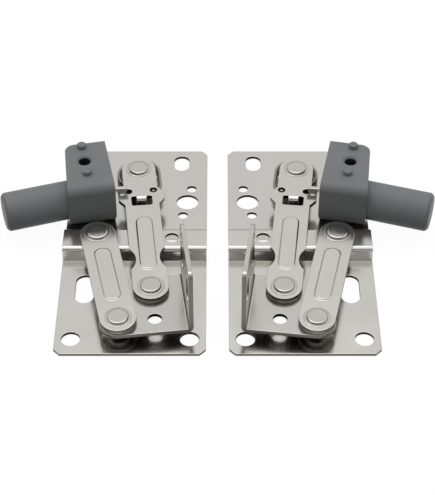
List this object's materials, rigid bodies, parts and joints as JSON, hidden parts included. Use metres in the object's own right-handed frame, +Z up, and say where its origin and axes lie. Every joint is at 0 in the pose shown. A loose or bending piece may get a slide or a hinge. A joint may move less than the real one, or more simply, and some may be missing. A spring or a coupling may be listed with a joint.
{
  "type": "soft-close tip-out tray hinge pair",
  "caption": "Pair of soft-close tip-out tray hinges: two links swing an angle bracket over a ridged plate, pulled shut by a torsion spring and slowed by a damper.",
  "frame": {"origin": "middle of the pair in plan, on the plane that the undersides of both base plates lie on", "axes": "+X from the left-hand hinge to the right-hand hinge, +Y from the plates' near ends to their far ends, +Z up from the plates towards the links"},
  "size_m": [0.1532, 0.105, 0.0303],
  "materials": {
    "nickel_plate": "satin nickel-plated pressed steel sheet",
    "plain_steel": "turned steel",
    "spring_steel": "drawn spring wire",
    "damper_plastic": "dark grey moulded plastic",
    "plunger_plastic": "smooth grey low-friction plastic",
    "seal_rubber": "soft black rubber"
  },
  "bodies": {
    "left_base": {"left_base_plate": "nickel_plate", "left_spring_link_upper_rivet": "nickel_plate", "left_plain_link_upper_rivet": "nickel_plate", "left_ridge_washer": "nickel_plate", "left_spring_bush": "plain_steel", "left_damper_housing": "damper_plastic", "left_damper_cylinder": "damper_plastic", "left_rod_seal": "seal_rubber"},
    "left_bracket": {"left_angle_bracket": "nickel_plate", "left_spring_link_lower_rivet": "nickel_plate", "left_spring_link_washer": "nickel_plate"},
    "left_spring_link": {"left_spring_link": "nickel_plate", "left_torsion_spring": "spring_steel"},
    "left_plain_link": {"left_plain_link": "nickel_plate", "left_plain_link_lower_rivet": "nickel_plate", "left_plain_link_washer": "nickel_plate", "left_keeper_washer": "nickel_plate"},
    "left_plunger": {"left_piston": "plunger_plastic", "left_piston_rod": "plain_steel", "left_plunger_tip": "plunger_plastic"},
    "right_base": {"right_base_plate": "nickel_plate", "right_spring_link_upper_rivet": "nickel_plate", "right_plain_link_upper_rivet": "nickel_plate", "right_ridge_washer": "nickel_plate", "right_spring_bush": "plain_steel", "right_damper_housing": "damper_plastic", "right_damper_cylinder": "damper_plastic", "right_rod_seal": "seal_rubber"},
    "right_bracket": {"right_angle_bracket": "nickel_plate", "right_spring_link_lower_rivet": "nickel_plate", "right_spring_link_washer": "nickel_plate"},
    "right_spring_link": {"right_spring_link": "nickel_plate", "right_torsion_spring": "spring_steel"},
    "right_plain_link": {"right_plain_link": "nickel_plate", "right_plain_link_lower_rivet": "nickel_plate", "right_plain_link_washer": "nickel_plate", "right_keeper_washer": "nickel_plate"},
    "right_plunger": {"right_piston": "plunger_plastic", "right_piston_rod": "plain_steel", "right_plunger_tip": "plunger_plastic"}
  },
  "joints": [
    {"name": "pair_spread", "type": "slide", "parent": "left_base", "child": "right_base", "axis": [1, 0, 0], "range_m": [0, 0.066]},
    {"name": "left_spring_link_pivot", "type": "hinge", "parent": "left_base", "child": "left_spring_link", "pos_m": [-0.0288, 0.0335, 0.0075], "axis": [0, 0, 1], "range_deg": [0, 41.1], "stiffness_Nm_per_rad": 0.25, "springref_deg": -34.38},
    {"name": "left_bracket_pivot", "type": "hinge", "parent": "left_spring_link", "child": "left_bracket", "pos_m": [-0.0223, -0.028, 0.0065], "axis": [0, 0, 1], "range_deg": [-78.09, 0]},
    {"name": "left_plain_link_pivot", "type": "hinge", "parent": "left_base", "child": "left_plain_link", "pos_m": [-0.0417, -0.0015, 0.0075], "axis": [0, 0, 1], "range_deg": [0, 57.75]},
    {"name": "left_plunger_slide", "type": "slide", "parent": "left_base", "child": "left_plunger", "axis": [0.9537, 0.3007, 0], "range_m": [0, 0.00802]},
    {"name": "right_spring_link_pivot", "type": "hinge", "parent": "right_base", "child": "right_spring_link", "pos_m": [0.0288, 0.0335, 0.0075], "axis": [0, 0, 1], "range_deg": [-41.1, 0], "stiffness_Nm_per_rad": 0.25, "springref_deg": 34.38},
    {"name": "right_bracket_pivot", "type": "hinge", "parent": "right_spring_link", "child": "right_bracket", "pos_m": [0.0223, -0.028, 0.0065], "axis": [0, 0, 1], "range_deg": [0, 78.09]},
    {"name": "right_plain_link_pivot", "type": "hinge", "parent": "right_base", "child": "right_plain_link", "pos_m": [0.0417, -0.0015, 0.0075], "axis": [0, 0, 1], "range_deg": [-57.75, 0]},
    {"name": "right_plunger_slide", "type": "slide", "parent": "right_base", "child": "right_plunger", "axis": [-0.9537, 0.3007, 0], "range_m": [0, 0.00802]}
  ],
  "couplings": [
    {"joint": "left_spring_link_pivot", "follows": "pair_spread", "rad_per_m": 10.842},
    {"joint": "left_bracket_pivot", "follows": "pair_spread", "rad_per_m": -20.6},
    {"joint": "left_plain_link_pivot", "follows": "pair_spread", "rad_per_m": 15.233},
    {"joint": "left_plunger_slide", "follows": "pair_spread", "ratio": 0.12121},
    {"joint": "right_spring_link_pivot", "follows": "pair_spread", "rad_per_m": -10.842},
    {"joint": "right_bracket_pivot", "follows": "pair_spread", "rad_per_m": 20.6},
    {"joint": "right_plain_link_pivot", "follows": "pair_spread", "rad_per_m": -15.233},
    {"joint": "right_plunger_slide", "follows": "pair_spread", "ratio": 0.12121}
  ]
}
